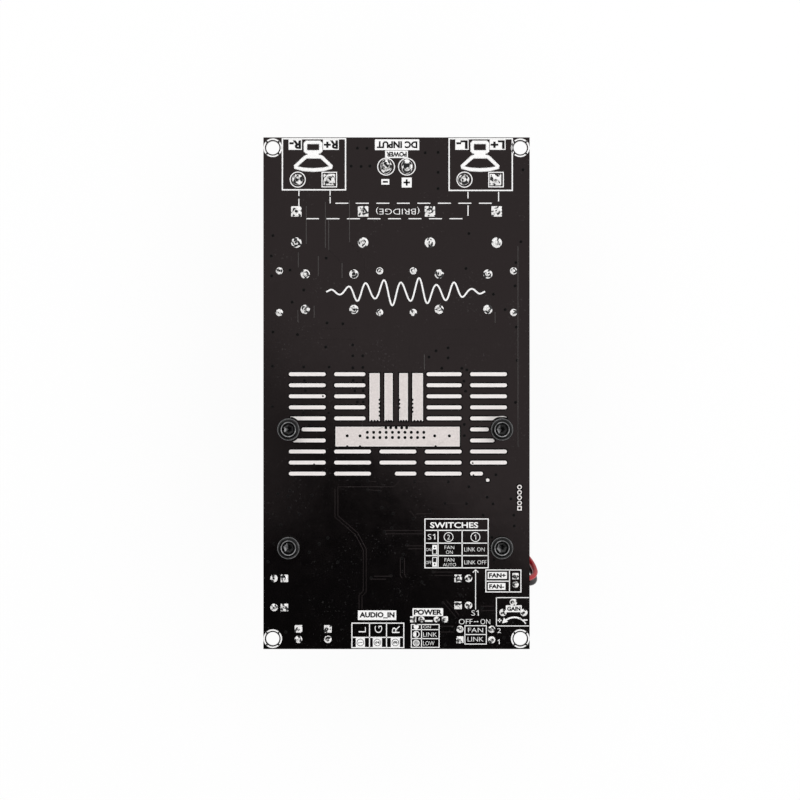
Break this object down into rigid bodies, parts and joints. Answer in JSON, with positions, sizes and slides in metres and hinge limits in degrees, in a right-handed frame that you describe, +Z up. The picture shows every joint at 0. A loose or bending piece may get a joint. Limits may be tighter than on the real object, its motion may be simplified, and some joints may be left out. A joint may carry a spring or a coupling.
{
  "type": "audio amplifier board",
  "caption": "Black stereo switching amplifier board, solder side up, with capacitors, output filter, heatsink with fan and pluggable connectors hanging below.",
  "frame": {"origin": "middle of the board's footprint, on the surface that it lies on", "axes": "+X right and +Y towards the speaker edge, both seen on the solder side; +Z up, out of the solder side"},
  "size_m": [0.0667, 0.123, 0.0346],
  "materials": {
    "solder_mask": "gloss",
    "tin": "satin",
    "black_oxide": "satin",
    "black_anodised": "satin",
    "brass": "satin",
    "pad_grey": "matte",
    "mould_black": "matte",
    "fan_plastic": "satin",
    "magnet": "matte",
    "copper": "gloss",
    "steel": "satin",
    "nylon_white": "satin",
    "wire_red": "satin",
    "wire_black": "satin",
    "sleeve_black": "gloss",
    "film_red": "gloss",
    "ferrite": "matte",
    "header_black": "satin",
    "gilt": "gloss",
    "nylon_yellow": "satin",
    "switch_red": "satin",
    "knob_white": "satin",
    "gain_blue": "satin",
    "lamp_blue": "gloss",
    "lamp_red": "gloss",
    "ceramic": "satin"
  },
  "bodies": {
    "board": {"circuit_board": "solder_mask", "bare_strips": "tin", "solder_joints": "tin", "heatsink": "black_anodised", "heatsink_spacers": "brass", "heatsink_screws": "black_oxide", "thermal_pad": "pad_grey", "amplifier_chip": "mould_black", "chip_leads": "tin", "fan_frame": "fan_plastic", "fan_stator": "copper", "fan_screws": "steel", "fan_header": "nylon_white", "fan_header_pins": "tin", "fan_plug": "nylon_white", "fan_wire_red": "wire_red", "fan_wire_black": "wire_black", "inductor_core_1": "ferrite", "inductor_core_2": "ferrite", "inductor_windings_1": "copper", "inductor_windings_2": "copper", "speaker_header_1": "header_black", "speaker_header_2": "header_black", "speaker_pins_1": "tin", "speaker_pins_2": "tin", "power_socket": "nylon_yellow", "power_pins": "gilt", "audio_header": "header_black", "audio_pins": "gilt", "dip_body": "switch_red", "dip_pins": "tin", "gain_body": "gain_blue", "indicator_lamp_1": "lamp_blue", "indicator_lamp_2": "lamp_red", "signal_chips": "mould_black", "regulator_coil": "ferrite", "chip_resistors": "mould_black", "chip_capacitors": "ceramic", "chip_end_caps": "tin", "supply_capacitor_1": "sleeve_black", "film_capacitor_1": "film_red", "supply_capacitor_2": "sleeve_black", "film_capacitor_2": "film_red", "supply_capacitor_3": "sleeve_black", "film_capacitor_3": "film_red", "supply_capacitor_4": "sleeve_black", "film_capacitor_4": "film_red", "small_capacitor_1": "sleeve_black", "small_capacitor_2": "sleeve_black", "small_capacitor_3": "sleeve_black", "small_capacitor_4": "sleeve_black", "small_capacitor_5": "sleeve_black", "small_capacitor_6": "sleeve_black"},
    "rotor": {"fan_rotor": "fan_plastic", "fan_magnet": "magnet"},
    "slide_1": {"dip_slide_1": "knob_white"},
    "slide_2": {"dip_slide_2": "knob_white"},
    "gain": {"gain_disc": "knob_white"}
  },
  "joints": [
    {"name": "fan_spin", "type": "hinge", "parent": "board", "child": "rotor", "pos_m": [-0.0003, -0.0229, 0.007], "axis": [0, 0, 1], "continuous": true},
    {"name": "dip_1", "type": "slide", "parent": "board", "child": "slide_1", "axis": [1, 0, 0], "range_m": [0, 0.002]},
    {"name": "dip_2", "type": "slide", "parent": "board", "child": "slide_2", "axis": [1, 0, 0], "range_m": [0, 0.002]},
    {"name": "gain_turn", "type": "hinge", "parent": "board", "child": "gain", "pos_m": [0.0281, -0.0515, 0.025], "axis": [0, 0, -1], "range_deg": [-130, 130]}
  ]
}
